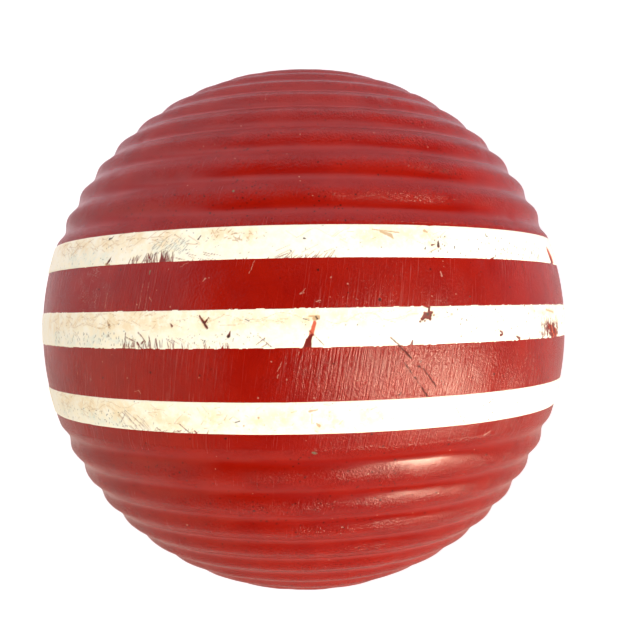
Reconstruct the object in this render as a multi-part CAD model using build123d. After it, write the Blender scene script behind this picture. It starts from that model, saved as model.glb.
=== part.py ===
from build123d import *
from math import cos, degrees, radians, sin
import os

# A turned wooden croquet ball: a hardwood core with beaded caps and a plain waist, one
# dipped coat of red enamel all over it, and three white stripes painted over the red.
#
# The ball lies on its waist, and the origin is its centre. +Y runs along the axis that it
# was turned and striped about. Lengths are in millimetres, and latitudes are in degrees
# from the plane halfway between the two beaded caps, positive towards +Y.

# Ball
BALL_DIAMETER = 85.7  # over the red enamel: a 3 3/8 inch lawn ball
RED_FILM = 0.25  # several coats of dipped enamel
WHITE_FILM = 0.2  # two coats of striping enamel brushed over the red

# Rounded beads turned side by side in both caps
BEAD_PITCH = 6.35  # latitude from one crest to the next, 3/16 inch along the surface
BEAD_DEPTH = 0.55  # from crest to valley
WAIST_EDGE = 18.6  # latitude where the plain waist rolls over into the first valley
VALLEYS_PER_CAP = 11
FLANK_ROUNDING = 0.36  # how far crest and valley stay level, as a share of the way between them

# Mark that the lathe's centre left at each pole
MARK_RADIUS = 1.0
MARK_DEPTH = 0.7

# White stripes: latitude of the middle, and width along the surface. They were painted on
# nearly a millimetre nearer to the upper cap than to the lower one.
STRIPES = {
    "white_stripe_upper": (15.5, 4.25),
    "white_stripe_middle": (1.35, 4.7),
    "white_stripe_lower": (-13.35, 4.1),
}

BALL_RADIUS = BALL_DIAMETER / 2
QUARTER_TURN = 90
MARK_EDGE = QUARTER_TURN - degrees(MARK_RADIUS / BALL_RADIUS)


def place(distance, latitude):
    """The point of the XY half-plane at that distance from the centre and that latitude."""
    return Vector(distance * cos(radians(latitude)), distance * sin(radians(latitude)))


def flank(start, end, below):
    """The S-shaped flank between a crest and a valley, each given as (latitude, radius), at
    a depth below the enamel's surface."""
    (start_latitude, start_radius), (end_latitude, end_radius) = start, end
    reach = BALL_RADIUS * radians(end_latitude - start_latitude) * FLANK_ROUNDING
    foot = place(start_radius - below, start_latitude)
    head = place(end_radius - below, end_latitude)
    leave = place(reach, start_latitude + QUARTER_TURN)
    arrive = place(reach, end_latitude + QUARTER_TURN)
    return Bezier(foot, foot + leave, head - arrive, head)


def cap_flanks(below):
    """The upper cap's outline, from the waist's edge to the round button at the pole, which
    ends at the edge of the lathe mark."""
    crests_and_valleys = [
        (WAIST_EDGE + BEAD_PITCH / 2 * n, BALL_RADIUS - BEAD_DEPTH * (n % 2))
        for n in range(2 * VALLEYS_PER_CAP)
    ]
    crests_and_valleys.append((MARK_EDGE, BALL_RADIUS))
    pairs = zip(crests_and_valleys, crests_and_valleys[1:])
    return [flank(start, end, below) for start, end in pairs]


def mark_bottom(below):
    """Where the bottom of the upper lathe mark lies on the axis."""
    return Vector(0, BALL_RADIUS - below - MARK_DEPTH)


def outline(below):
    """The turned ball's outline at a depth below the enamel's surface, from the bottom of
    the lower lathe mark, round the waist, to the bottom of the upper one."""
    radius = BALL_RADIUS - below
    waist = ThreePointArc(place(radius, -WAIST_EDGE), place(radius, 0), place(radius, WAIST_EDGE))
    upper = cap_flanks(below)
    upper.append(Line(upper[-1] @ 1, mark_bottom(below)))
    lower = [mirror(edge, about=Plane.XZ) for edge in upper]
    return [*lower, waist, *upper]


def wooden_core():
    """The turned hardwood ball, which fills the enamel coat."""
    end = mark_bottom(RED_FILM)
    return revolve(make_face([*outline(RED_FILM), Line(end, -end)]), Axis.Y)


def red_enamel_coat():
    """The closed film of enamel over the whole core."""
    outside = mark_bottom(0)
    inside = mark_bottom(RED_FILM)
    ends = [Line(outside, inside), Line(-outside, -inside)]
    return revolve(make_face([*outline(0), *outline(RED_FILM), *ends]), Axis.Y)


def white_stripe(latitude, width):
    """A ring of enamel on the plain waist, with its edges sloping down to the red."""
    half = degrees(width / 2 / BALL_RADIUS)
    slope = degrees(WHITE_FILM / BALL_RADIUS)
    top = BALL_RADIUS + WHITE_FILM
    inner = [place(BALL_RADIUS, latitude + offset) for offset in (-half, 0, half)]
    outer = [place(top, latitude + offset) for offset in (slope - half, 0, half - slope)]
    edges = [
        ThreePointArc(*inner),
        Line(inner[2], outer[2]),
        ThreePointArc(*outer),
        Line(outer[0], inner[0]),
    ]
    return revolve(make_face(edges), Axis.Y)


parts = {"wooden_core": wooden_core(), "red_enamel_coat": red_enamel_coat()}
for name, (latitude, width) in STRIPES.items():
    parts[name] = white_stripe(latitude, width)

os.makedirs("parts", exist_ok=True)
for name, solid in parts.items():
    export_step(solid, f"parts/{name}.step")
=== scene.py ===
"""The croquet ball's looks: worn red enamel over beaded caps and a plain waist, and three
chipped white stripes. The ball lies on its waist and is seen from straight above."""

import bpy
import numpy as np
from mathutils import Matrix, Quaternion, Vector


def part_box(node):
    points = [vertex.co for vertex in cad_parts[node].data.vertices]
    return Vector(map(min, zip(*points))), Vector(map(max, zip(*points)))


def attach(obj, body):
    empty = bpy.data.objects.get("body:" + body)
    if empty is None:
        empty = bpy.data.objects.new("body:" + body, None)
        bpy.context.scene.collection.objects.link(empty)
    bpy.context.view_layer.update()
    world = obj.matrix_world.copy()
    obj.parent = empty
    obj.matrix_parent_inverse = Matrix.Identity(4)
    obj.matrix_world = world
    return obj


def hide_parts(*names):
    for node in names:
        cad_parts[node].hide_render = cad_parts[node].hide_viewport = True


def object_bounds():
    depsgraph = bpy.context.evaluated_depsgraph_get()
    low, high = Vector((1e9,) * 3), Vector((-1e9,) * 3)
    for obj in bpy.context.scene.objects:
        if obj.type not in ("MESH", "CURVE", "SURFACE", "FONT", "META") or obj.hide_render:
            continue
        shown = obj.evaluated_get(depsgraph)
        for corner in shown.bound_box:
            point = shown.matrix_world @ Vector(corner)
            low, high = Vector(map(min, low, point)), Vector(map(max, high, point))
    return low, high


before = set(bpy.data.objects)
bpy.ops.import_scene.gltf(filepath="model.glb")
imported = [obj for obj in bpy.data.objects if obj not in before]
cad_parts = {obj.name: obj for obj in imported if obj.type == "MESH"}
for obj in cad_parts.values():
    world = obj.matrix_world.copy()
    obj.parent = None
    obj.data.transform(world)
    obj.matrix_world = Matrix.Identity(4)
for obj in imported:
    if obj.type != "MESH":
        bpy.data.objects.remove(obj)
cad_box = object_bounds()

MM = 0.001
QUARTER_TURN = 90

# Sizes that the frame gives
def outer_radius(node):
    """The radius of a node's waist: a facet may stop short of it on one side of the ball."""
    return max(abs(edge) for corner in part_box(node) for edge in (corner.x, corner.z))


BALL_RADIUS = outer_radius("red_enamel_coat")
WHITE_FILM = outer_radius("white_stripe_middle") - BALL_RADIUS

# The beads, as the lathe cut them: latitudes in degrees from the middle of the waist
BEAD_PITCH = 6.35
BEAD_DEPTH = 0.55 * MM
WAIST_EDGE = 18.6
VALLEYS_PER_CAP = 11
LAST_VALLEY = WAIST_EDGE + BEAD_PITCH * (VALLEYS_PER_CAP - 0.5)
MARK_RADIUS = 1.0 * MM
MARK_DEPTH = 0.7 * MM
MARK_EDGE = QUARTER_TURN - np.degrees(MARK_RADIUS / BALL_RADIUS)

# How bright the sky is, by where it lies from overhead
SKY_OVERHEAD = 0.02
SKY_LEFT = 2.4
SKY_RIGHT = 0.8
SKY_AHEAD = 2.0
SKY_BEHIND = 1.1
LAMP_DISTANCE = 0.5


# ---------------------------------------------------------------- points on the ball

def direction(longitude, latitude):
    """Unit vectors (..., 3). Longitude runs round +Y from the top of the ball, +Z, towards +X."""
    lon, lat = np.radians(longitude), np.radians(latitude)
    return np.stack([np.sin(lon) * np.cos(lat), np.sin(lat), np.cos(lon) * np.cos(lat)], -1)


def smooth_step(value, low, high):
    """0 below low and 1 above high, with a smooth rise between."""
    t = np.clip((value - low) / (high - low), 0, 1)
    return t * t * (3 - 2 * t)


def noise(points, size, seed):
    """Smooth noise of about -1 to 1 at points in metres, with features about size across."""
    rng = np.random.default_rng(seed)
    order = rng.permutation(256)
    slopes = rng.normal(size=(256, 3))
    slopes /= np.linalg.norm(slopes, axis=1)[:, None]
    scaled = points / size + rng.uniform(0, 100, 3)
    cell = np.floor(scaled).astype(int)
    inside = scaled - cell
    fade = inside ** 3 * (inside * (inside * 6 - 15) + 10)
    total = np.zeros(points.shape[:-1])
    for corner in np.ndindex(2, 2, 2):
        x, y, z = np.moveaxis((cell + corner) % 256, -1, 0)
        slope = slopes[order[(order[(order[x] + y) % 256] + z) % 256]]
        weight = np.prod(np.where(corner, fade, 1 - fade), axis=-1)
        total += weight * np.sum(slope * (inside - corner), axis=-1)
    return total * 1.6


# ---------------------------------------------------------------- the worn red surface

def turned_depth(latitude):
    """How far the lathe cut below the ball's radius at each latitude."""
    away = np.abs(latitude)
    turns = np.where(
        away < LAST_VALLEY,
        (away - WAIST_EDGE) / BEAD_PITCH,
        0.5 * (MARK_EDGE - away) / (MARK_EDGE - LAST_VALLEY),
    )
    depth = BEAD_DEPTH / 2 * (1 - np.cos(2 * np.pi * turns))
    depth = np.where(away < WAIST_EDGE, 0, depth)
    cone = MARK_DEPTH * (away - MARK_EDGE) / (QUARTER_TURN - MARK_EDGE)
    return np.where(away > MARK_EDGE, cone, depth)


def dent_list():
    """Dents from mallets and hoops, as (longitude, latitude, radius, depth)."""
    rng = np.random.default_rng(7)
    dents = []
    for _ in range(150):
        latitude = np.degrees(np.arcsin(rng.uniform(-1, 1)))
        radius = rng.uniform(0.8, 2.6) * MM
        dents.append((rng.uniform(-180, 180), latitude, radius, rng.uniform(0.03, 0.14) * MM))
    return dents


def coat_radius(longitude, latitude):
    """The worn red enamel's distance from the centre."""
    unit = direction(longitude, latitude)
    at_surface = unit * BALL_RADIUS
    wobble = 0.10 * noise(at_surface, 14 * MM, 1) + 0.08 * noise(at_surface, 4 * MM, 2)
    depth = turned_depth(latitude + wobble)
    away = np.abs(latitude)
    beaded = smooth_step(away, WAIST_EDGE, WAIST_EDGE + BEAD_PITCH / 2)
    crest = beaded * (1 - depth / BEAD_DEPTH)
    rubbed = np.clip(noise(at_surface, 9 * MM, 3) + 0.1, 0, 1) * 0.10 * MM
    depth = depth + crest ** 2 * rubbed
    depth = depth + beaded * 0.030 * MM * noise(at_surface, 2.5 * MM, 4)
    depth = depth + 0.020 * MM * noise(at_surface, 6 * MM, 5)
    dented = np.zeros_like(depth)
    for lon, lat, radius, deep in dent_list():
        distance = BALL_RADIUS * np.linalg.norm(unit - direction(lon, lat), axis=-1)
        dented += deep * np.clip(1 - (distance / radius) ** 2, 0, 1) ** 2
    return BALL_RADIUS - np.maximum(depth + np.minimum(dented, 0.15 * MM), 0)


def new_object(name, points, faces):
    mesh = bpy.data.meshes.new(name)
    mesh.from_pydata(points, [], faces)
    mesh.update()
    piece = bpy.data.objects.new(name, mesh)
    bpy.context.scene.collection.objects.link(piece)
    mesh.shade_smooth()
    return piece


def set_mask(piece, name, values):
    """Stores one number per vertex, for the piece's material to read."""
    layer = piece.data.attributes.new(name, "FLOAT", "POINT")
    layer.data.foreach_set("value", np.asarray(values, np.float32).ravel())


def band_faces(rows, columns, closed=False):
    """Quads between rows of points that run round the ball. A closed band joins its last row to
    its first as well."""
    bands = rows if closed else rows - 1
    row, column = np.meshgrid(np.arange(bands), np.arange(columns), indexing="ij")
    beside = (column + 1) % columns
    above = (row + 1) % rows * columns
    corners = [row * columns + column, row * columns + beside, above + beside, above + column]
    return np.stack(corners, -1).reshape(-1, 4)


def red_coat():
    """The outer surface of the worn enamel, closed at both poles. It has no inner surface."""
    columns = 340
    latitudes = coat_latitudes()
    longitudes = np.arange(columns) * 360 / columns - 180
    lon, lat = np.meshgrid(longitudes, latitudes)
    radius = coat_radius(lon, lat)
    points = (direction(lon, lat) * radius[..., None]).reshape(-1, 3)
    south, north = len(points), len(points) + 1
    pole = [(0, -(BALL_RADIUS - MARK_DEPTH), 0), (0, BALL_RADIUS - MARK_DEPTH, 0)]
    rows = len(latitudes)
    faces = band_faces(rows, columns).tolist()
    for column in range(columns):
        beside = (column + 1) % columns
        last = (rows - 1) * columns
        faces.append((beside, column, south))
        faces.append((last + column, last + beside, north))
    piece = new_object("red_coat", np.vstack([points, pole]).tolist(), faces)
    groove = np.append(turned_depth(lat).ravel() / BEAD_DEPTH, [1, 1])
    set_mask(piece, "groove", groove)
    return piece


def coat_latitudes():
    """Rows of the coat's mesh: spaced wide on the plain waist, and close over the beads."""
    waist = np.linspace(-WAIST_EDGE, WAIST_EDGE, 62)
    cap = np.linspace(WAIST_EDGE, MARK_EDGE, 112)[1:]
    mark = np.linspace(MARK_EDGE, QUARTER_TURN, 4)[1:-1]
    upper = np.concatenate([cap, mark])
    return np.concatenate([-upper[::-1], waist, upper])


# ---------------------------------------------------------------- wear on the stripes, with painted shade in chips

# Marks on the side that shows. Each is a route of (longitude, latitude, width in millimetres).
HAND_MARKS = {
    "white_stripe_upper": {
        "chip": [
            [(-28.1, 14.3, 0.10), (-27.8, 13.6, 0.32), (-27.3, 13.1, 0.12)],
            [(-25.3, 14.5, 0.08), (-25.1, 13.5, 0.42), (-25.0, 12.5, 0.95)],
            [(-24.2, 14.4, 0.08), (-24.5, 12.6, 0.35)],
            [(-37.2, 14.1, 0.10), (-37.5, 13.4, 0.42), (-38.0, 12.9, 0.20)],
            [(24.0, 15.6, 0.12), (23.8, 14.6, 0.40)],
            [(22.5, 14.8, 0.25), (23.2, 15.0, 0.10)],
            [(35.6, 12.6, 0.30), (36.5, 13.0, 0.08)],
            [(59.4, 15.4, 0.20), (60.4, 13.8, 0.90), (61.2, 12.2, 1.50)],
        ],
        "thin": [[(59.8, 15.8, 0.5), (61.4, 13.6, 1.6), (62.2, 12.4, 2.2)]],
        # Near-black marks: dirt specks, and painted shade in the middle of some chips
        "grime_and_chip_shade": [
            [(-38.5, 17.5, 0.32), (-37.8, 17.6, 0.15), (-37.4, 18.0, 0.08)],
            [(-17.9, 16.9, 0.08), (-18.3, 16.3, 0.24)],
            [(-37.5, 13.3, 0.30), (-37.2, 13.9, 0.15)],
            [(0.0, 15.9, 0.26), (0.3, 15.8, 0.15)],
            [(-2.2, 13.8, 0.20)],
            [(35.4, 17.3, 0.10), (35.3, 16.8, 0.12), (35.8, 16.7, 0.15)],
            [(24.0, 15.6, 0.10), (23.8, 14.7, 0.22)],
            [(27.2, 14.6, 0.20)], [(32.7, 14.3, 0.20)], [(30.7, 13.9, 0.18)],
            [(13.0, 14.3, 0.16)], [(49.7, 14.5, 0.14)], [(-34.6, 15.4, 0.16)],
        ],
        "stain": [
            [(13.2, 17.0, 0.25), (14.9, 16.4, 0.55), (15.3, 15.9, 0.20)],
            [(11.8, 17.4, 0.15), (16.5, 16.9, 0.20)],
            [(21.5, 17.3, 0.40), (22.1, 17.1, 0.20)],
            [(-38.2, 12.8, 0.40), (-37.2, 12.7, 0.30)],
            [(23.6, 14.3, 0.12), (21.4, 13.3, 0.10)],
        ],
    },
    "white_stripe_middle": {
        "chip": [
            [(-17.3, 3.5, 0.22), (-16.7, 2.6, 0.34), (-16.0, 1.6, 0.30)],
            [(-15.7, 3.3, 0.10), (-16.3, 2.5, 0.28)],
            [(19.4, 2.4, 0.42), (20.1, 3.0, 0.70)], [(20.1, 3.0, 0.70), (21.2, 3.5, 0.44)],
            [(19.9, 3.4, 0.40), (20.5, 3.0, 1.00)], [(20.5, 3.0, 0.90), (20.9, 2.4, 0.40)],
            [(20.1, 4.6, 0.34), (20.8, 4.3, 0.40)], [(20.8, 4.3, 0.30), (20.7, 3.3, 0.36)],
            [(19.0, 2.0, 0.28)], [(21.6, 3.0, 0.26)], [(19.9, 2.1, 0.22)],
            [(-12.4, 0.2, 0.42), (-12.1, 1.0, 0.08)],
            [(-13.5, -1.8, 0.35), (-13.3, -1.2, 0.08)],
            [(-7.6, 0.3, 0.07), (-5.4, -1.6, 0.08)],
            [(-7.8, -1.1, 0.06), (-6.5, -0.2, 0.10)],
            [(-7.0, -1.6, 0.06), (-6.0, -1.0, 0.08)],
            [(0.9, 0.2, 0.35), (0.4, -0.7, 0.75), (0.2, -1.9, 1.10)],
            [(0.6, 0.9, 0.06), (2.9, -1.4, 0.06)],
            [(-31.9, 0.8, 0.10), (-32.3, -1.6, 0.14)],
            [(-31.8, 0.1, 0.10), (-29.8, -0.6, 0.12), (-30.3, -1.4, 0.08)],
            [(-29.1, 0.9, 0.10), (-28.3, 0.2, 0.14), (-27.6, -0.7, 0.10)],
            [(-29.4, -0.8, 0.30), (-28.6, -1.7, 0.12)],
            [(-28.4, -0.9, 0.26), (-27.9, -0.4, 0.12)],
            [(-26.9, 0.4, 0.10), (-26.6, -1.6, 0.12)],
            [(-25.5, -0.2, 0.20), (-25.3, -1.7, 0.10)],
            [(-22.7, 2.4, 0.08), (-22.3, 1.9, 0.30)],
            [(36.0, 0.0, 0.28), (36.6, -0.3, 0.32)], [(36.1, -0.7, 0.42), (36.6, -0.6, 0.28)],
            [(40.6, -1.1, 0.28), (41.6, -1.5, 0.44)],
            [(44.6, -0.6, 0.12), (44.9, -1.7, 0.26)],
            [(17.6, -1.0, 0.14), (17.4, -1.8, 0.46)],
            [(13.7, -0.4, 0.12), (15.5, -1.9, 0.18)],
            [(43.5, 4.3, 0.30)],
            [(50.8, 0.6, 0.10), (52.6, -0.6, 0.18)], [(54.0, 0.8, 0.30), (54.6, -0.6, 0.50)],
            [(55.4, 0.6, 0.60), (57.2, -1.6, 0.80)], [(53.4, -0.9, 0.40), (55.4, -1.4, 0.70)],
        ],
        # Near-black marks: dirt specks, and painted shade in the middle of some chips
        "grime_and_chip_shade": [
            [(-12.4, 0.2, 0.34)],
            [(1.7, 3.1, 0.16), (1.9, 2.8, 0.22)], [(-0.3, 2.8, 0.14), (0.6, 2.6, 0.12)],
            [(-35.9, 2.2, 0.24)],
            [(6.4, 1.7, 0.18)], [(8.3, 1.7, 0.18)], [(36.4, 2.5, 0.16)], [(41.2, 2.8, 0.14)],
            [(20.5, 3.2, 0.34)], [(-16.7, 2.6, 0.12), (-16.2, 1.9, 0.12)],
            [(-9.6, 2.9, 0.12), (-9.0, 2.6, 0.12)],
        ],
        "stain": [
            [(0.4, 3.2, 0.12), (1.4, 3.2, 0.26)], [(1.4, 2.8, 0.50), (2.0, 3.0, 0.60)],
            [(-36.4, 2.9, 0.15), (-35.8, 2.0, 0.55)],
            [(52.0, 3.5, 0.30), (56.0, 3.0, 0.30)],
        ],
        "thin": [
            [(1.5, 2.2, 0.42), (0.9, 0.3, 0.58)],
            [(52.8, 0.6, 0.5), (54.4, -0.2, 1.3), (57.0, -1.2, 1.8)],
        ],
    },
    "white_stripe_lower": {
        "chip": [
            [(-22.3, -14.5, 0.06), (-20.6, -16.0, 0.12)],
            [(-34.6, -12.9, 0.06), (-31.6, -15.4, 0.08)],
            [(-33.8, -13.0, 0.06), (-35.6, -14.9, 0.06)],
            [(-19.6, -15.6, 0.14), (-19.3, -16.0, 0.20)],
            [(-27.2, -15.3, 0.08), (-26.1, -16.2, 0.10)],
        ],
        "grime_and_chip_shade": [
            [(18.6, -12.4, 0.08), (21.8, -12.2, 0.10)],
            [(26.1, -12.1, 0.06), (27.4, -13.7, 0.09)], [(28.0, -14.4, 0.20)],
            [(28.6, -15.1, 0.08), (29.1, -15.6, 0.12)],
            [(34.2, -12.5, 0.12), (35.5, -11.8, 0.08)],
            [(35.6, -14.4, 0.20)], [(29.5, -13.6, 0.14)], [(-31.2, -10.9, 0.16)],
            [(-12.0, -13.9, 0.10), (-11.2, -13.7, 0.10)],
        ],
        "stain": [
            [(0.4, -12.1, 0.30), (1.7, -11.9, 0.20)], [(-8.0, -13.1, 0.30)],
            [(0.8, -12.6, 0.12), (0.8, -14.2, 0.10)], [(2.0, -14.6, 0.45), (1.6, -14.2, 0.2)],
            [(-10.6, -14.5, 0.25)],
        ],
    },
}

# Patches of fine scratches: longitudes, latitudes, how many, lengths in mm, slants in degrees
# from due east, and the widest in mm
SCRATCH_PATCHES = {
    "white_stripe_upper": {
        "chip": [
            ((-32.5, -28.3), (12.5, 13.2), 16, (0.4, 1.2), (50, 75), 0.13),
            ((-28.3, -22.8), (12.5, 12.8), 34, (0.4, 1.5), (65, 110), 0.16),
            ((-23.5, -15.5), (12.8, 14.0), 12, (0.8, 1.9), (-22, -8), 0.06),
            ((-5.5, 4.5), (12.5, 12.8), 26, (0.3, 1.4), (20, 55), 0.11),
            ((-5.0, 3.5), (12.8, 13.9), 5, (1.0, 2.4), (18, 30), 0.06),
            ((-20.0, 55.0), (12.6, 12.7), 26, (0.1, 0.4), (40, 140), 0.12),
        ],
        "grime_and_chip_shade": [
            ((-27.5, -20.0), (13.8, 16.2), 60, (0.1, 0.9), (25, 60), 0.06),
            ((-60.0, -33.0), (13.0, 16.0), 46, (0.03, 0.15), (0, 180), 0.11),
            ((-33.0, 10.0), (13.5, 18.0), 50, (0.03, 0.25), (0, 180), 0.09),
            ((20.0, 55.0), (12.9, 16.5), 64, (0.05, 0.35), (30, 80), 0.19),
        ],
        "stain": [
            ((-60.0, -20.0), (15.5, 18.0), 60, (0.3, 2.2), (-40, 40), 0.12),
            ((-16.0, -8.0), (15.8, 17.8), 34, (0.1, 0.7), (-80, 80), 0.16),
            ((4.0, 28.0), (15.0, 18.0), 24, (0.4, 1.6), (-50, 50), 0.07),
        ],
    },
    "white_stripe_middle": {
        "chip": [
            ((-33.0, -22.0), (-1.9, -1.4), 46, (0.2, 1.2), (75, 105), 0.14),
            ((-22.0, -12.0), (-1.9, -1.5), 26, (0.1, 0.8), (75, 105), 0.10),
            ((-26.0, -17.0), (-0.8, 0.1), 9, (0.4, 1.2), (-35, -15), 0.06),
            ((49.6, 59.0), (-1.9, 0.9), 110, (0.4, 1.2), (80, 130), 0.30),
            ((38.0, 50.0), (-1.9, -1.6), 12, (0.1, 0.4), (40, 140), 0.12),
        ],
        "grime_and_chip_shade": [
            ((-55.2, -54.4), (-1.0, 0.9), 9, (0.1, 0.3), (80, 100), 0.12),
            ((-54.0, -33.0), (-1.4, 0.8), 74, (0.04, 0.35), (75, 105), 0.12),
            ((-20.0, -8.0), (-1.4, 0.6), 46, (0.03, 0.15), (0, 180), 0.11),
            ((-55.0, 24.0), (-1.2, 4.2), 70, (0.02, 0.15), (0, 180), 0.10),
            ((24.0, 58.0), (-1.2, 4.2), 46, (0.03, 0.25), (0, 180), 0.19),
        ],
        "stain": [
            ((-58.0, -25.0), (1.2, 4.2), 60, (0.3, 2.0), (-35, 50), 0.08),
            ((-25.0, 20.0), (1.8, 4.2), 26, (0.3, 1.4), (-35, 35), 0.06),
        ],
    },
    "white_stripe_lower": {
        "chip": [
            ((-36.0, -30.0), (-15.6, -12.4), 16, (0.6, 1.8), (-55, -35), 0.06),
            ((-34.0, -16.0), (-16.2, -15.9), 22, (0.2, 0.8), (20, 60), 0.10),
        ],
        "grime_and_chip_shade": [
            ((-60.0, -34.0), (-15.8, -12.8), 76, (0.03, 0.3), (0, 180), 0.12),
            ((-34.0, 24.0), (-15.8, -10.9), 44, (0.03, 0.2), (0, 180), 0.09),
            ((24.0, 55.0), (-15.8, -10.9), 36, (0.03, 0.25), (0, 180), 0.18),
        ],
        "stain": [
            ((-60.0, -22.0), (-14.5, -10.8), 60, (0.3, 2.0), (-50, 60), 0.08),
            ((-22.0, 14.0), (-15.5, -11.0), 34, (0.1, 0.9), (-60, 60), 0.12),
        ],
    },
}

# Hair cracks in the white film: longitudes, the latitude they follow and how far they wander
CRACKS = {
    "white_stripe_upper": [(-58, -47, 17.0, 0.8), (-45, -34, 16.8, 0.6), (-3, 8, 16.9, 0.7)],
    "white_stripe_middle": [
        (-50, -36, 3.0, 0.9), (-47, -33, 2.0, 0.4), (-44, -36, 3.7, 0.4), (-19, -8, 3.1, 0.5),
        (-14, -3, 2.3, 0.3), (-10, 2, 3.3, 0.5), (3, 15, 2.8, 0.8), (12, 19, 2.9, 0.5),
        (22, 31, 2.9, 0.4), (29, 43, 2.8, 0.7),
    ],
    "white_stripe_lower": [(-45, -36, -12.4, 0.6), (-40, -30, -11.6, 0.5)],
}

# Where age has turned the white cream, and where it is greyed: routes as wide as the patch
AGED = {
    "white_stripe_upper": {
        "warm": [
            [(-60, 17.2, 2.4), (-46, 17.0, 2.6)], [(-40, 17.0, 2.8), (-24, 16.8, 2.8)],
            [(-17, 17.0, 1.8), (-8, 16.8, 1.8)], [(10, 16.6, 2.6), (24, 16.0, 2.4)],
        ],
        "cold": [[(-52, 14.2, 2.4), (-39, 14.0, 1.8)], [(-26, 15.4, 1.6), (-21, 15.4, 1.4)]],
    },
    "white_stripe_middle": {
        "warm": [
            [(-58, 2.8, 2.8), (-30, 2.6, 3.0), (-14, 2.8, 2.4), (12, 3.0, 1.8)],
            [(14, 3.2, 1.4), (24, 3.4, 1.2)], [(44, 3.4, 1.2), (58, 2.8, 2.2)],
        ],
        "cold": [[(-55, -0.5, 2.2), (-33, -0.6, 2.2)], [(-33, -0.8, 1.4), (-24, -0.8, 1.0)]],
    },
    "white_stripe_lower": {
        "warm": [
            [(-58, -12.0, 2.2), (-40, -12.4, 2.6), (-26, -13.6, 2.8), (-14, -13.4, 2.2)],
            [(-8, -13.6, 2.6), (12, -13.4, 2.6)],
        ],
        "cold": [[(-56, -14.4, 1.8), (-36, -15.0, 1.6)]],
    },
}

METRES_PER_DEGREE = BALL_RADIUS * np.radians(1)
SHOWING = 66
EDGE_BLUR = 0.05 * MM
PATCH_BLUR = 1.1 * MM
MASKS = ["chip", "grime_and_chip_shade", "stain", "thin", "warm", "cold"]


def paint(mask, lon, lat, route, blur=EDGE_BLUR, roughness=None):
    """Draws a route on a mask: 1 inside its width and 0 outside, with a blurred edge."""
    reach = (max(place[2] for place in route) / 2 * MM + 2 * blur) / METRES_PER_DEGREE * 1.1
    west = min(place[0] for place in route) - reach
    east = max(place[0] for place in route) + reach
    near = (lon[0] > west) & (lon[0] < east)
    shrink = np.cos(np.radians(route[0][1]))
    x, y = lon[:, near] * shrink, lat[:, near]
    outside = np.full(x.shape, 1.0)
    ends = route[1:] if len(route) > 1 else route
    for (lon_a, lat_a, width_a), (lon_b, lat_b, width_b) in zip(route, ends):
        run, rise = (lon_b - lon_a) * shrink, lat_b - lat_a
        along = (x - lon_a * shrink) * run + (y - lat_a) * rise
        share = np.clip(along / max(run ** 2 + rise ** 2, 1e-9), 0, 1)
        gap = np.hypot(x - lon_a * shrink - share * run, y - lat_a - share * rise)
        half = (width_a + share * (width_b - width_a)) / 2 * MM
        outside = np.minimum(outside, gap * METRES_PER_DEGREE - half)
    if roughness is not None:
        outside = outside + roughness[:, near]
    mask[:, near] = np.maximum(mask[:, near], smooth_step(outside, blur, -blur))


def scratch_routes(rng, patch):
    """Short straight scratches that start at random places in a patch."""
    (west, east), (south, north), count, lengths, slants, widest = patch
    routes = []
    for _ in range(count):
        lon, lat = rng.uniform(west, east), rng.uniform(south, north)
        length = rng.uniform(*lengths) * MM / METRES_PER_DEGREE
        slant = np.radians(rng.uniform(*slants))
        width = widest * rng.uniform(0.4, 1)
        end = (lon + length * np.cos(slant), lat + length * np.sin(slant), width * 0.5)
        routes.append([(lon, lat, width), end])
    return routes


def crack_route(rng, crack):
    """A hair crack that wanders up and down in shallow arcs."""
    west, east, latitude, wander = crack
    longitudes = np.arange(west, east, 0.45)
    swing = wander * np.sin(longitudes * rng.uniform(0.5, 1.1) + rng.uniform(0, 6))
    latitudes = latitude + swing + rng.normal(0, 0.07, len(longitudes))
    return [(lon, lat, rng.uniform(0.02, 0.06)) for lon, lat in zip(longitudes, latitudes)]


def hidden_wear(rng, low, high):
    """The same kinds of wear on the rest of a stripe, as patches, cracks and aged stretches."""
    beyond = (SHOWING - 6, 360 - SHOWING + 6)
    patches = {
        "chip": [(beyond, (low, high), 30, (0.1, 0.9), (0, 180), 0.34)],
        "grime_and_chip_shade": [(beyond, (low, high), 260, (0.03, 0.3), (0, 180), 0.13)],
        "stain": [(beyond, (low, high), 170, (0.3, 2.0), (-50, 50), 0.09)],
    }
    for _ in range(9):
        middle = rng.uniform(*beyond)
        edge = rng.choice([low, high])
        slant = 90 if edge == low else -90
        band = (edge - 0.1, edge + 0.3) if edge == low else (edge - 0.3, edge + 0.1)
        spread = (slant - 30, slant + 30)
        patches["chip"].append(((middle - 4, middle + 4), band, 24, (0.3, 1.3), spread, 0.14))
    cracks, aged = [], {"warm": [], "cold": []}
    for _ in range(16):
        start = rng.uniform(*beyond)
        latitude = rng.uniform(low + 1, high - 1)
        cracks.append((start, start + rng.uniform(6, 14), latitude, rng.uniform(0.3, 0.8)))
    for _ in range(12):
        start = rng.uniform(*beyond)
        kind = rng.choice(["warm", "warm", "cold"])
        latitude = rng.uniform(low + 1, high - 1)
        aged[kind].append([(start, latitude, 2.4), (start + rng.uniform(8, 20), latitude, 2.4)])
    return patches, cracks, aged


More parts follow.
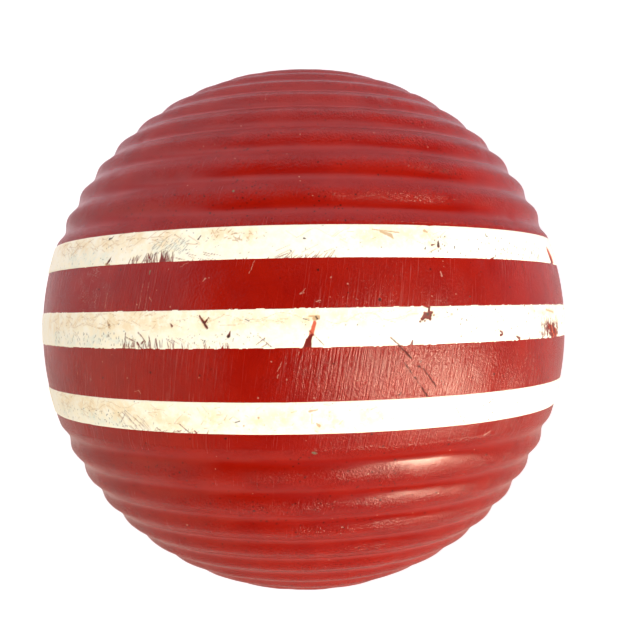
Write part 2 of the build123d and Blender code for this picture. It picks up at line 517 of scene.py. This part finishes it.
def stripe_masks(name, lon, lat, at_surface, seed):
    """All the wear of one stripe, and the painted shade in its chips, as masks on its grid of points.
    """
    rng = np.random.default_rng(seed)
    masks = {kind: np.zeros(lon.shape) for kind in MASKS}
    ragged = 0.05 * MM * noise(at_surface, 0.28 * MM, seed + 5)
    blotches = smooth_step(noise(at_surface, 1.9 * MM, seed + 6), -0.7, 0.45)
    patches, cracks, aged = hidden_wear(rng, *stripe_edges(name))
    for kind, routes in HAND_MARKS[name].items():
        for route in routes:
            paint(masks[kind], lon, lat, route, EDGE_BLUR, ragged)
    for group in (SCRATCH_PATCHES[name], patches):
        for kind, several in group.items():
            for patch in several:
                for route in scratch_routes(rng, patch):
                    paint(masks[kind], lon, lat, route)
    for crack in CRACKS[name] + cracks:
        paint(masks["stain"], lon, lat, crack_route(rng, crack))
    for group in (AGED[name], aged):
        for kind, routes in group.items():
            for route in routes:
                paint(masks[kind], lon, lat, route, PATCH_BLUR)
    for kind in ("warm", "cold"):
        masks[kind] = masks[kind] * blotches
    return masks


# ---------------------------------------------------------------- stripes

def stripe_edges(name):
    """The latitudes of a stripe's lower and upper edge."""
    low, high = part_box(name)
    return np.degrees(np.arcsin(low.y / BALL_RADIUS)), np.degrees(np.arcsin(high.y / BALL_RADIUS))


def stripe_longitudes():
    """Close together on the side with the marks that were placed one by one."""
    front = np.arange(-SHOWING, SHOWING, 0.11)
    behind = np.linspace(SHOWING, 360 - SHOWING, 580, endpoint=False)
    return np.concatenate([front, behind])


def stripe(name, seed):
    """A film of white enamel: ragged at its edges, thin where it is scratched, and all but gone
    where it is chipped. It stands about half of the CAD's film above the red, and its back lies
    inside the red enamel, above the wood, so the ring is closed."""
    low, high = stripe_edges(name)
    margin = np.degrees(0.35 * MM / BALL_RADIUS)
    latitudes = np.linspace(low - margin, high + margin, 52)
    lon, lat = np.meshgrid(stripe_longitudes(), latitudes)
    unit = direction(lon, lat)
    at_surface = unit * BALL_RADIUS
    masks = stripe_masks(name, lon, lat, at_surface, seed)
    ragged = 0.03 * noise(at_surface, 1.6 * MM, seed) + 0.04 * noise(at_surface, 0.5 * MM, seed + 1)
    inside = np.radians(np.minimum(lat - low, high - lat)) * BALL_RADIUS + ragged * MM
    film = WHITE_FILM / 2 * smooth_step(inside, -0.02 * MM, 0.25 * MM) + 0.01 * MM
    sags = 0.015 * MM * noise(at_surface, 1.2 * MM, seed + 2)
    film = film + sags * smooth_step(inside, 0, 0.3 * MM)
    film = film * (1 - 0.93 * masks["chip"]) * (1 - 0.25 * masks["stain"])
    film = np.where(inside < -0.02 * MM, -0.05 * MM, film)
    points = unit * (coat_radius(lon, lat) + film)[..., None]
    faces = band_faces(*lon.shape, closed=True)
    piece = new_object(name + "_paint", points.reshape(-1, 3).tolist(), faces.tolist())
    for kind in MASKS:
        set_mask(piece, kind, masks[kind])
    return piece


# ---------------------------------------------------------------- shader nodes

def node(tree, kind, *inputs, **settings):
    """Adds a shader node. Its inputs are numbers, colours or sockets, in order, and None leaves
    one as it is; settings are its properties."""
    made = tree.nodes.new("ShaderNode" + kind)
    for name, value in settings.items():
        setattr(made, name, value)
    for socket, value in zip(made.inputs, inputs):
        if isinstance(value, bpy.types.NodeSocket):
            tree.links.new(value, socket)
        elif value is not None:
            socket.default_value = value
    return made


def math_node(tree, operation, *values):
    return node(tree, "Math", *values, operation=operation).outputs[0]


def vector_node(tree, operation, *values):
    return node(tree, "VectorMath", *values, operation=operation).outputs[0]


def ramp(tree, value, low, high, to_low=0.0, to_high=1.0):
    made = node(tree, "MapRange", value, low, high, to_low, to_high)
    made.interpolation_type = "SMOOTHSTEP"
    return made.outputs[0]


def mix(tree, share, first, second):
    made = node(tree, "Mix", data_type="RGBA")
    sockets = (made.inputs[0], made.inputs[6], made.inputs[7])
    for socket, value in zip(sockets, (share, first, second)):
        if isinstance(value, bpy.types.NodeSocket):
            tree.links.new(value, socket)
        else:
            socket.default_value = value
    return made.outputs[2]


def texture_noise(tree, place, size, detail=2.0, roughness=0.5):
    """Noise of 0 to 1, with features about size metres across."""
    return node(tree, "TexNoise", place, None, 1 / size, detail, roughness).outputs[0]


def attribute(tree, name):
    return node(tree, "Attribute", attribute_name=name).outputs["Fac"]


def object_place(tree):
    return node(tree, "TexCoord").outputs["Object"]


def specks(tree, place, spacing, radius, share):
    """Round dots of a radius in metres, in a share of the cells of a random grid."""
    cells = node(tree, "TexVoronoi", place, None, 1 / spacing)
    size = radius / spacing
    dot = ramp(tree, cells.outputs["Distance"], size * 1.3, size * 0.7)
    pick = node(tree, "SeparateColor", cells.outputs["Color"]).outputs[0]
    return math_node(tree, "MULTIPLY", dot, math_node(tree, "LESS_THAN", pick, share))


def bump(tree, height, distance, below=None):
    made = node(tree, "Bump")
    made.inputs["Strength"].default_value = 1.0
    made.inputs["Distance"].default_value = distance
    tree.links.new(height, made.inputs["Height"])
    if below is not None:
        tree.links.new(below, made.inputs["Normal"])
    return made.outputs[0]


def new_material(name):
    material = bpy.data.materials.new(name)
    material.use_nodes = True
    tree = material.node_tree
    return material, tree, tree.nodes["Principled BSDF"]


def connect(tree, shader, **sockets):
    for name, socket in sockets.items():
        tree.links.new(socket, shader.inputs[name.replace("_", " ")])


# ---------------------------------------------------------------- white enamel and maple

def white_enamel():
    material, tree, shader = new_material("white_enamel")
    shader.inputs["Specular IOR Level"].default_value = 0.3
    place = object_place(tree)
    mottle = texture_noise(tree, place, 0.7 * MM, 4, 0.65)
    clean = mix(tree, ramp(tree, mottle, 0.35, 0.7), (0.80, 0.765, 0.635, 1), (0.80, 0.735, 0.54, 1))
    aged = math_node(tree, "MULTIPLY", attribute(tree, "warm"), ramp(tree, mottle, 0.25, 0.6))
    colour = mix(tree, aged, clean, (0.73, 0.60, 0.38, 1))
    greyed = math_node(tree, "MULTIPLY", attribute(tree, "cold"), ramp(tree, mottle, 0.7, 0.3))
    colour = mix(tree, greyed, colour, (0.60, 0.64, 0.53, 1))
    stained = math_node(tree, "MULTIPLY", attribute(tree, "stain"), 0.75)
    colour = mix(tree, stained, colour, (0.40, 0.21, 0.07, 1))
    colour = mix(tree, attribute(tree, "thin"), colour, (0.52, 0.095, 0.045, 1))
    colour = mix(tree, attribute(tree, "chip"), colour, (0.15, 0.006, 0.003, 1))
    # Near-black: grime specks, and painted shade in the middle of chips
    colour = mix(tree, attribute(tree, "grime_and_chip_shade"), colour, (0.05, 0.022, 0.016, 1))
    dust = specks(tree, place, 1.5 * MM, 0.07 * MM, 0.22)
    colour = mix(tree, math_node(tree, "MULTIPLY", dust, 0.7), colour, (0.16, 0.10, 0.05, 1))
    rough = ramp(tree, texture_noise(tree, place, 1.5 * MM, 3), 0.3, 0.7, 0.32, 0.46)
    brushed = bump(tree, texture_noise(tree, place, 0.5 * MM, 3), 0.012 * MM)
    connect(tree, shader, Base_Color=colour, Roughness=rough, Normal=brushed)
    return material


def maple():
    """Pale wood with growth rings round the ball's turning axis and fine pores."""
    material, tree, shader = new_material("maple")
    place = object_place(tree)
    across = vector_node(tree, "MULTIPLY", place, (1, 0.12, 1))
    wander = texture_noise(tree, across, 9 * MM, 2)
    x, _, z = node(tree, "SeparateXYZ", place).outputs
    off_centre = math_node(tree, "ADD", x, 60 * MM)
    radius = math_node(tree, "SQRT", math_node(
        tree, "ADD", math_node(tree, "POWER", off_centre, 2), math_node(tree, "POWER", z, 2)))
    turns = math_node(tree, "MULTIPLY_ADD", wander, 3.0, math_node(tree, "DIVIDE", radius, 2.1 * MM))
    ring = ramp(tree, math_node(tree, "FRACT", turns), 0.0, 1.0)
    colour = mix(tree, ring, (0.62, 0.42, 0.24, 1), (0.47, 0.28, 0.14, 1))
    pores = texture_noise(tree, vector_node(tree, "MULTIPLY", place, (1, 0.05, 1)), 0.3 * MM, 3)
    colour = mix(tree, ramp(tree, pores, 0.62, 0.75, 0, 0.5), colour, (0.30, 0.16, 0.07, 1))
    rough = ramp(tree, pores, 0.3, 0.7, 0.5, 0.65)
    connect(tree, shader, Base_Color=colour, Roughness=rough, Normal=bump(tree, pores, 0.02 * MM))
    return material


# ---------------------------------------------------------------- red enamel

# Marks on the red that shows, as routes of (longitude, latitude, width in millimetres)
RED_MARKS = {
    "pale": [
        [(-8.2, 12.4, 0.07), (-9.0, 10.3, 0.11)],
        [(0.1, 7.6, 0.06), (-0.7, 6.8, 0.16)], [(-0.9, 6.7, 0.10), (-0.2, 7.0, 0.16)],
        [(1.7, 5.5, 0.10), (2.5, 5.7, 0.14)],
        [(4.3, 9.4, 0.22)], [(7.0, 8.3, 0.22)], [(24.3, 12.0, 0.14)], [(24.4, 11.1, 0.12)],
        [(23.6, 10.2, 0.20), (23.7, 9.6, 0.30)],
        [(-16.9, 9.2, 0.10), (-16.5, 9.6, 0.18)], [(-15.9, 9.7, 0.12)],
        [(-19.8, 12.4, 0.06), (-21.3, 11.7, 0.06)],
        [(-38.1, -4.2, 0.14)], [(-42.2, -7.4, 0.20)], [(-35.5, -2.9, 0.12)],
        [(-30.9, -9.1, 0.08), (-29.9, -8.9, 0.14)], [(-29.9, -8.9, 0.14), (-29.6, -9.5, 0.08)],
        [(-3.9, -4.1, 0.10), (-4.6, -5.5, 0.08)], [(-4.4, -6.0, 0.08), (-4.6, -6.6, 0.12)],
        [(-7.9, -9.8, 0.20)], [(1.2, -9.9, 0.18)], [(-5.5, -4.0, 0.16)], [(-3.1, -6.9, 0.16)],
        [(-36.9, 7.8, 0.06), (-37.3, 5.1, 0.06)], [(-28.5, 9.1, 0.06), (-29.1, 5.0, 0.06)],
        [(-27.3, 9.3, 0.05), (-27.8, 4.7, 0.05)], [(-26.9, 6.8, 0.10), (-26.6, 6.1, 0.08)],
        [(-36.4, 22.6, 0.12), (-34.6, 23.1, 0.22)], [(-34.6, 22.6, 0.20), (-32.6, 23.2, 0.10)],
        [(-33.4, 22.4, 0.10), (-31.6, 23.4, 0.08)], [(-31.0, 23.2, 0.06), (-29.6, 24.2, 0.06)],
        [(-30.3, 32.6, 0.06), (-29.6, 30.6, 0.06)],
        [(35.0, -18.6, 0.30), (36.4, -18.0, 0.16)], [(13.0, -46.0, 0.30), (10.0, -46.2, 0.20)],
    ],
    "dark": [
        [(12.2, 5.7, 0.34)], [(44.7, 11.9, 0.20), (45.3, 9.9, 0.08)],
        [(14.0, -0.6, 0.17), (17.4, -3.9, 0.24)], [(16.2, -4.6, 0.13), (20.7, -10.4, 0.25)],
        [(19.7, -5.7, 0.13), (22.2, -8.8, 0.19)],
        [(18.8, -5.3, 0.34), (19.1, -5.5, 0.18)], [(34.9, -7.4, 0.34)],
        [(15.5, -9.9, 0.22), (15.9, -9.5, 0.12)], [(14.5, -2.8, 0.18)], [(29.8, -7.8, 0.20)],
        [(29.3, 6.0, 0.24)], [(32.7, 7.6, 0.14)], [(-46.0, -5.4, 0.12)], [(-35.6, -8.3, 0.10)],
        [(-54.8, 8.9, 0.14)], [(-35.5, 10.9, 0.10)], [(-23.4, 9.5, 0.10)], [(-38.7, -10.1, 0.14)],
        [(-18.6, 24.3, 0.30)], [(-17.4, 24.5, 0.18)], [(-20.4, 25.6, 0.16)],
        [(-50.0, 19.4, 0.34), (-49.0, 19.8, 0.2)], [(-33.0, 20.2, 0.18), (-32.4, 20.6, 0.08)],
        [(-18.2, 43.7, 0.22), (-17.4, 44.1, 0.10)], [(-58.0, 33.0, 0.14), (-57.2, 34.2, 0.26)],
        [(24.4, -40.5, 0.30)], [(45.0, -27.5, 0.14), (45.4, -26.6, 0.2)],
        [(47.0, -30.6, 0.16), (47.4, -29.6, 0.24)],
    ],
    "dirt": [
        [(-12.9, 25.0, 0.38)], [(-27.3, 11.2, 0.26), (-27.3, 10.7, 0.20)],
        [(1.0, -19.6, 0.50), (2.6, -20.2, 0.2)],
    ],
}
STREAK_LEAN = 0.17

# Where the enamel was sanded most, as (longitude, latitude, radius)
SANDED_PATCHES = [(14, -7, 20 * MM), (-24, -4, 12 * MM), (-30, 7, 8 * MM)]


def stroke_group():
    """A node group that draws one straight stroke: 1 inside its width, 0 outside."""
    group = bpy.data.node_groups.new("stroke", "ShaderNodeTree")
    sockets = group.interface
    for name in ("Place", "Start", "Run", "Run over its length squared"):
        sockets.new_socket(name, in_out="INPUT", socket_type="NodeSocketVector")
    for name in ("Half width", "Widening"):
        sockets.new_socket(name, in_out="INPUT", socket_type="NodeSocketFloat")
    sockets.new_socket("Mask", in_out="OUTPUT", socket_type="NodeSocketFloat")
    place, start, run, measure, half, widening, _ = group.nodes.new("NodeGroupInput").outputs
    offset = vector_node(group, "SUBTRACT", place, start)
    dot = node(group, "VectorMath", offset, measure, operation="DOT_PRODUCT").outputs["Value"]
    share = node(group, "Clamp", dot).outputs[0]
    reached = node(group, "VectorMath", run, None, None, share, operation="SCALE").outputs[0]
    gap = node(group, "VectorMath", offset, reached, operation="DISTANCE").outputs["Value"]
    edge = math_node(group, "MULTIPLY_ADD", share, widening, half)
    outside = math_node(group, "SUBTRACT", gap, edge)
    mask = ramp(group, outside, EDGE_BLUR, -EDGE_BLUR)
    group.links.new(mask, group.nodes.new("NodeGroupOutput").inputs[0])
    return group


def drawn(tree, group, place, routes):
    """All these strokes on one mask."""
    total = 0.0
    for route in routes:
        lon, lat, width = route[0]
        end_lon, end_lat, end_width = route[-1]
        start = Vector(direction(lon, lat)) * BALL_RADIUS
        run = Vector(direction(end_lon, end_lat)) * BALL_RADIUS - start
        stroke = tree.nodes.new("ShaderNodeGroup")
        stroke.node_tree = group
        tree.links.new(place, stroke.inputs["Place"])
        stroke.inputs["Start"].default_value = start
        stroke.inputs["Run"].default_value = run
        measure = run / max(run.length_squared, 1e-12)
        stroke.inputs["Run over its length squared"].default_value = measure
        stroke.inputs["Half width"].default_value = width / 2 * MM
        stroke.inputs["Widening"].default_value = (end_width - width) / 2 * MM
        total = math_node(tree, "MAXIMUM", stroke.outputs[0], total)
    return total


def streaked(tree, place, across, along):
    """Noise in fine lines from pole to pole, which lean a little to the east going north."""
    x, y, z = node(tree, "SeparateXYZ", place).outputs
    level = vector_node(tree, "NORMALIZE", node(tree, "CombineXYZ", x, 0.0, z).outputs[0])
    lean = math_node(tree, "MULTIPLY", y, -STREAK_LEAN / BALL_RADIUS)
    turned = node(tree, "VectorRotate", level, None, None, lean, rotation_type="Y_AXIS").outputs[0]
    girth = vector_node(tree, "MULTIPLY", turned, (BALL_RADIUS / across,) * 3)
    rise = node(tree, "CombineXYZ", 0.0, math_node(tree, "DIVIDE", y, along), 0.0).outputs[0]
    return texture_noise(tree, vector_node(tree, "ADD", girth, rise), 1.0, 3, 0.65)


def around(tree, place, longitude, latitude, radius):
    """1 near a place on the ball, and 0 beyond a radius from it."""
    centre = Vector(direction(longitude, latitude)) * BALL_RADIUS
    gap = node(tree, "VectorMath", place, centre, operation="DISTANCE").outputs["Value"]
    return ramp(tree, gap, radius, radius * 0.45)


def times(tree, first, second):
    return math_node(tree, "MULTIPLY", first, second)


def on_waist(tree, place):
    """1 on the plain waist, and 0 on the beaded caps."""
    _, y, _ = node(tree, "SeparateXYZ", place).outputs
    edge = BALL_RADIUS * np.sin(np.radians(WAIST_EDGE))
    return ramp(tree, math_node(tree, "ABSOLUTE", y), edge + 0.4 * MM, edge - 0.2 * MM)


def shaken_place(tree, place):
    """The place, shifted a little at random, so that what is drawn there has rough edges."""
    shaken = node(tree, "TexNoise", place, None, 1 / (0.4 * MM), 2.0).outputs["Color"]
    centred = vector_node(tree, "SUBTRACT", shaken, (0.5, 0.5, 0.5))
    return vector_node(tree, "ADD", place, vector_node(tree, "MULTIPLY", centred, (0.30 * MM,) * 3))


def sanded_share(tree, place, waist):
    """How strongly the pole-to-pole scoring shows: in patches, and mostly on the waist."""
    patches = ramp(tree, texture_noise(tree, place, 16 * MM, 2), 0.42, 0.62)
    for longitude, latitude, radius in SANDED_PATCHES:
        patches = math_node(tree, "MAXIMUM", patches, around(tree, place, longitude, latitude, radius))
    return times(tree, patches, ramp(tree, waist, 0, 1, 0.12, 1))


def pitted_share(tree, place, waist, groove):
    """How strongly the grain shows: on the crests of the beads, more in some places."""
    raised = math_node(tree, "SUBTRACT", 1.0, groove)
    worn = ramp(tree, texture_noise(tree, place, 6 * MM, 2), 0.4, 0.6, 0.6, 1.0)
    return times(tree, times(tree, raised, worn), ramp(tree, waist, 0, 1, 1, 0.3))


def with_scuff(tree, place, colour):
    """A powdery scuff on the waist."""
    powder = texture_noise(tree, place, 0.19 * MM, 4, 0.7)
    cloud = texture_noise(tree, place, 2.0 * MM, 2)
    scuff = times(tree, around(tree, place, -42, 8.8, 5.5 * MM), ramp(tree, cloud, 0.4, 0.65))
    scuff = times(tree, scuff, ramp(tree, powder, 0.5, 0.7))
    return mix(tree, times(tree, scuff, 0.55), colour, (0.42, 0.30, 0.26, 1))


def with_specks(tree, place, rough_place, waist, colour):
    """Dark crumbs of dirt and pits, and pale flecks that are partly wear and partly painted glints."""
    dirty = ramp(tree, texture_noise(tree, place, 9 * MM, 3, 0.6), 0.42, 0.6)
    on_beads = times(tree, dirty, ramp(tree, waist, 0, 1, 1, 0.25))
    crumbs = times(tree, specks(tree, rough_place, 0.60 * MM, 0.11 * MM, 0.6), on_beads)
    pits = specks(tree, rough_place, 1.5 * MM, 0.14 * MM, 0.45)
    spots = times(tree, math_node(tree, "MAXIMUM", crumbs, pits), 0.85)
    colour = mix(tree, spots, colour, (0.045, 0.003, 0.002, 1))
    elsewhere = vector_node(tree, "ADD", rough_place, (0.1, 0.2, 0.3))
    # Pale flecks: partly wear, partly painted glints
    pale_flecks_and_glints = specks(tree, elsewhere, 1.6 * MM, 0.09 * MM, 0.45)
    return mix(tree, times(tree, pale_flecks_and_glints, 0.8), colour, (0.46, 0.20, 0.13, 1))


def red_enamel():
    material, tree, shader = new_material("red_enamel")
    shader.inputs["Specular IOR Level"].default_value = 0.2
    place = object_place(tree)
    rough_place = shaken_place(tree, place)
    groove = attribute(tree, "groove")
    waist = on_waist(tree, place)
    sanded = sanded_share(tree, place, waist)
    pitted = pitted_share(tree, place, waist, groove)
    streak = streaked(tree, place, 0.24 * MM, 6 * MM)
    grain = texture_noise(tree, place, 0.34 * MM, 3, 0.6)

    tone = ramp(tree, texture_noise(tree, place, 5 * MM, 4, 0.6), 0.3, 0.7)
    colour = mix(tree, tone, (0.215, 0.0026, 0.0003, 1), (0.252, 0.0046, 0.0004, 1))
    lines = times(tree, ramp(tree, streak, 0.58, 0.72), sanded)
    colour = mix(tree, times(tree, lines, 0.16), colour, (0.50, 0.16, 0.12, 1))
    colour = with_scuff(tree, place, colour)
    colour = with_specks(tree, place, rough_place, waist, colour)

    group = stroke_group()
    pale, dark, dirt = [
        drawn(tree, group, rough_place, RED_MARKS[kind]) for kind in ("pale", "dark", "dirt")
    ]
    colour = mix(tree, times(tree, pale, 0.55), colour, (0.52, 0.26, 0.18, 1))
    colour = mix(tree, times(tree, dirt, 0.8), colour, (0.14, 0.12, 0.07, 1))
    colour = mix(tree, times(tree, dark, 0.95), colour, (0.06, 0.003, 0.001, 1))

    rough = ramp(tree, groove, 0.3, 0.9, 0.27, 0.24)
    rough = math_node(tree, "MULTIPLY_ADD", lines, 0.12, rough)
    rough = math_node(tree, "MULTIPLY_ADD", dark, 0.6, rough)
    peel = bump(tree, texture_noise(tree, place, 1.6 * MM, 2), 0.012 * MM)
    grained = bump(tree, times(tree, grain, pitted), 0.27 * MM, peel)
    scored = bump(tree, times(tree, streak, sanded), 0.11 * MM, grained)
    connect(tree, shader, Base_Color=colour, Roughness=rough, Normal=scored)
    return material


# ---------------------------------------------------------------- stage, light, camera

def studio_world():
    """Bright sky all round, but dim overhead and to one side, where the photographer stands.
    Across runs from overhead towards +X, and ahead from overhead towards +Y, in degrees.
    The camera itself sees plain white."""
    world = bpy.data.worlds.new("studio")
    bpy.context.scene.world = world
    world.use_nodes = True
    tree = world.node_tree
    tree.nodes.clear()
    way = node(tree, "TexCoord").outputs["Generated"]
    x, y, z = node(tree, "SeparateXYZ", way).outputs
    across = math_node(tree, "DEGREES", math_node(tree, "ARCTAN2", x, z))
    ahead = math_node(tree, "DEGREES", math_node(tree, "ARCSINE", y))
    left = ramp(tree, across, -46, -54, 0, SKY_LEFT)
    left = math_node(tree, "MULTIPLY", left, ramp(tree, ahead, -50, 10, 0.45, 1))
    right = ramp(tree, across, 80, 95, 0, SKY_RIGHT)
    top = ramp(tree, ahead, 38, 62, 0, SKY_AHEAD)
    low_down = ramp(tree, ahead, -62, -88)
    bottom = math_node(tree, "MULTIPLY", low_down, SKY_BEHIND)
    sides = math_node(tree, "MAXIMUM", left, right)
    ends = math_node(tree, "MAXIMUM", top, bottom)
    strength = math_node(tree, "MAXIMUM", math_node(tree, "MAXIMUM", sides, ends), SKY_OVERHEAD)
    colour = mix(tree, ramp(tree, ahead, 24, -16), (0.96, 0.93, 1.0, 1), (1.0, 0.88, 0.66, 1))
    sky = node(tree, "Background", colour, strength).outputs[0]
    white = node(tree, "Background", (1, 1, 1, 1), 1.0).outputs[0]
    seen = node(tree, "LightPath").outputs["Is Camera Ray"]
    mixed = node(tree, "MixShader", seen, sky, white).outputs[0]
    node(tree, "OutputWorld", mixed)


def facing_back_to(place):
    """The turn that points a camera or a lamp from that direction at the ball, with +Y up."""
    right = Vector((0, 1, 0)).cross(place).normalized()
    return Matrix((right, place.cross(right), place)).transposed().to_quaternion()


def soft_light(name, longitude, latitude, size, power, lit_pieces):
    """A round lamp that faces the ball, and lights only these pieces."""
    lamp = bpy.data.lights.new(name, "AREA")
    lamp.shape = "DISK"
    lamp.size = size
    lamp.energy = power
    piece = bpy.data.objects.new(name, lamp)
    place = Vector(direction(longitude, latitude))
    piece.location = place * LAMP_DISTANCE
    piece.rotation_mode = "QUATERNION"
    piece.rotation_quaternion = facing_back_to(place)
    piece.visible_camera = False
    bpy.context.scene.collection.objects.link(piece)
    lit = bpy.data.collections.new(name + "_lights")
    for other in lit_pieces:
        lit.objects.link(other)
    piece.light_linking.receiver_collection = lit
    return piece


def add_lamps(ball):
    """A window that shows only as a glint, and three fills that show only as soft light."""
    window = soft_light("window", 50, -18, 0.19, 7.6, ball)
    window.data.color = (1.0, 0.82, 0.60)
    window.visible_diffuse = False
    for name, longitude, latitude, power, colour in (
        ("fill", 44, -16, 4.1, (1.0, 1.0, 1.0)),
        ("upper_fill", 14, 52, 0.75, (1.0, 0.93, 0.85)),
        ("lower_fill", 14, -55, 1.7, (1.0, 1.0, 1.0)),
    ):
        fill = soft_light(name, longitude, latitude, 0.5, power, ball)
        fill.data.color = colour
        fill.visible_glossy = False


def add_floor():
    """A pale floor that looks white from the camera. What the ball reflects of it is dimmer,
    cool ahead and warm behind."""
    half = 1.5
    height = cad_box[0].z
    sides = [(-half, -half), (half, -half), (half, half), (-half, half)]
    corners = [(x, y, height) for x, y in sides]
    floor = new_object("floor", corners, [(0, 1, 2, 3)])
    material, tree, shader = new_material("pale_cloth")
    shader.inputs["Base Color"].default_value = (0.88, 0.86, 0.9, 1)
    shader.inputs["Roughness"].default_value = 0.9
    seen = node(tree, "LightPath").outputs["Is Camera Ray"]
    _, y, _ = node(tree, "SeparateXYZ", object_place(tree)).outputs
    reflected = mix(tree, ramp(tree, y, -0.06, 0.08), (0.53, 0.475, 0.39, 1), (0.56, 0.55, 0.64, 1))
    glow = mix(tree, seen, reflected, (0.86, 0.85, 0.88, 1))
    tree.links.new(glow, shader.inputs["Emission Color"])
    shader.inputs["Emission Strength"].default_value = 1.0
    floor.data.materials.append(material)


def add_camera():
    """Almost straight above the ball, and as near as a phone held over it."""
    lens = bpy.data.cameras.new("camera")
    lens.lens = 44.17
    lens.sensor_width = 36
    lens.clip_start = 0.005
    camera = bpy.data.objects.new("camera", lens)
    bpy.context.scene.collection.objects.link(camera)
    bpy.context.scene.camera = camera
    place = Vector(direction(0, 1.28))
    camera.location = place * BALL_RADIUS * 3.172
    camera.rotation_mode = "QUATERNION"
    facing = facing_back_to(place)
    lean = Quaternion((0, 0, 1), np.radians(-1.0))
    turn = Quaternion((0, 1, 0), np.radians(-1.065))
    nod = Quaternion((1, 0, 0), np.radians(0.612))
    camera.rotation_quaternion = facing @ lean @ turn @ nod


coat = red_coat()
coat.data.materials.append(red_enamel())
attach(coat, "root")
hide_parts("red_enamel_coat")

white = white_enamel()
rings = []
for number, name in enumerate(["white_stripe_upper", "white_stripe_middle", "white_stripe_lower"]):
    ring = stripe(name, 20 + 10 * number)
    ring.data.materials.append(white)
    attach(ring, "root")
    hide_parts(name)
    rings.append(ring)

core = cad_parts["wooden_core"]
core.data.materials.clear()
core.data.materials.append(maple())

studio_world()
add_lamps([coat, *rings, core])
add_floor()
add_camera()
bpy.context.scene.view_settings.view_transform = "Standard"
